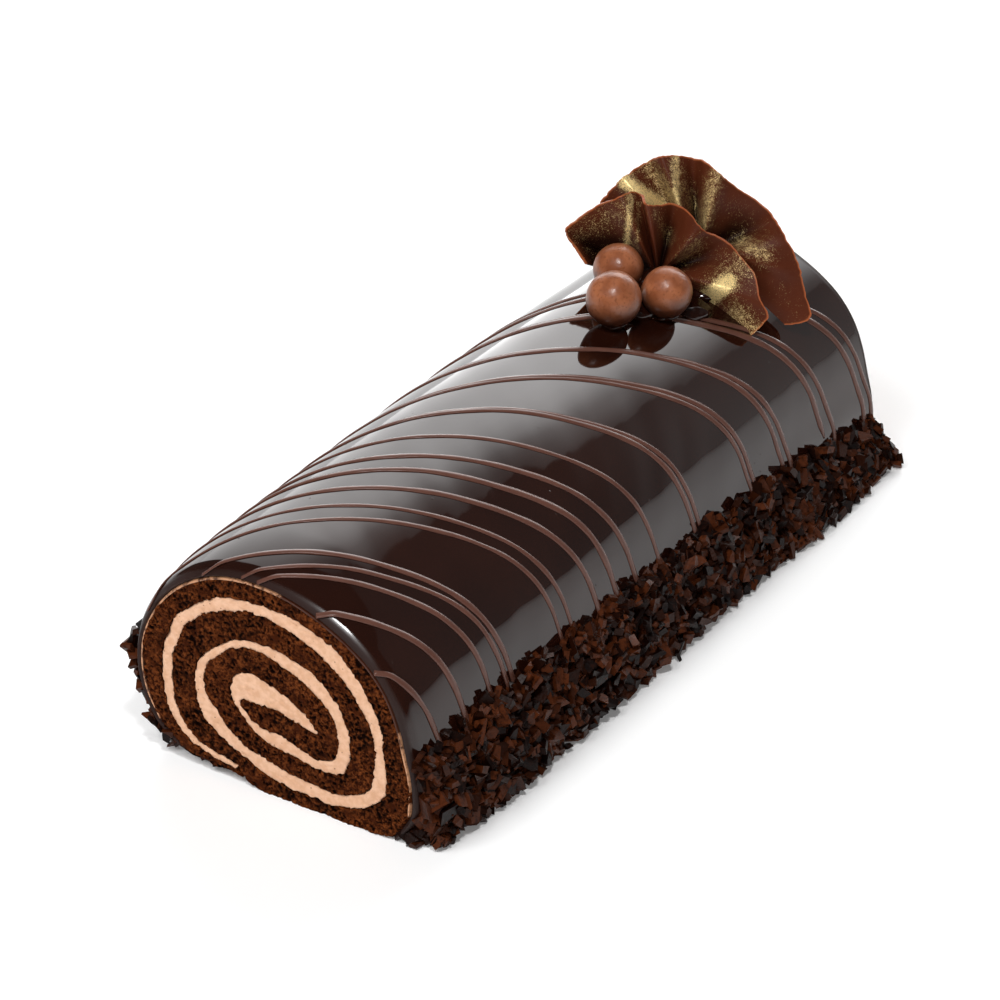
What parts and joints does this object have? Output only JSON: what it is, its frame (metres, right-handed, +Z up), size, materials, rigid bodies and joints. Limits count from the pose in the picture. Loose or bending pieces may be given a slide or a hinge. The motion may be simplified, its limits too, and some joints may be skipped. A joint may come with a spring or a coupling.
{
  "type": "chocolate swiss roll",
  "caption": "Glazed chocolate swiss roll with a spiral of cream, bands of chocolate flakes along its feet, and chocolate balls and pleated fans on top; both ends are cut.",
  "frame": {"origin": "middle of the whole cake's footprint, on the surface that it rests on", "axes": "+Y along the roll from the front cut towards the decorated back end, +Z up, +X to the right when facing the back end"},
  "size_m": [0.1214, 0.271, 0.1109],
  "materials": {
    "sponge": "baked cocoa sponge, fine pores, dull",
    "cream": "whipped cream, slightly satin",
    "glaze": "dark chocolate mirror glaze, wet gloss",
    "flakes": "broken dark chocolate flakes, satin",
    "balls": "milk chocolate, satin",
    "fans": "thin dark chocolate dusted with gold powder, satin"
  },
  "bodies": {
    "root": {"sponge": "sponge", "cream": "cream", "coat": "cream", "glaze": "glaze", "flakes_right": "flakes", "flakes_left": "flakes", "ball_1": "balls", "ball_2": "balls", "ball_3": "balls", "fan_front": "fans", "fan_back": "fans"}
  },
  "joints": []
}
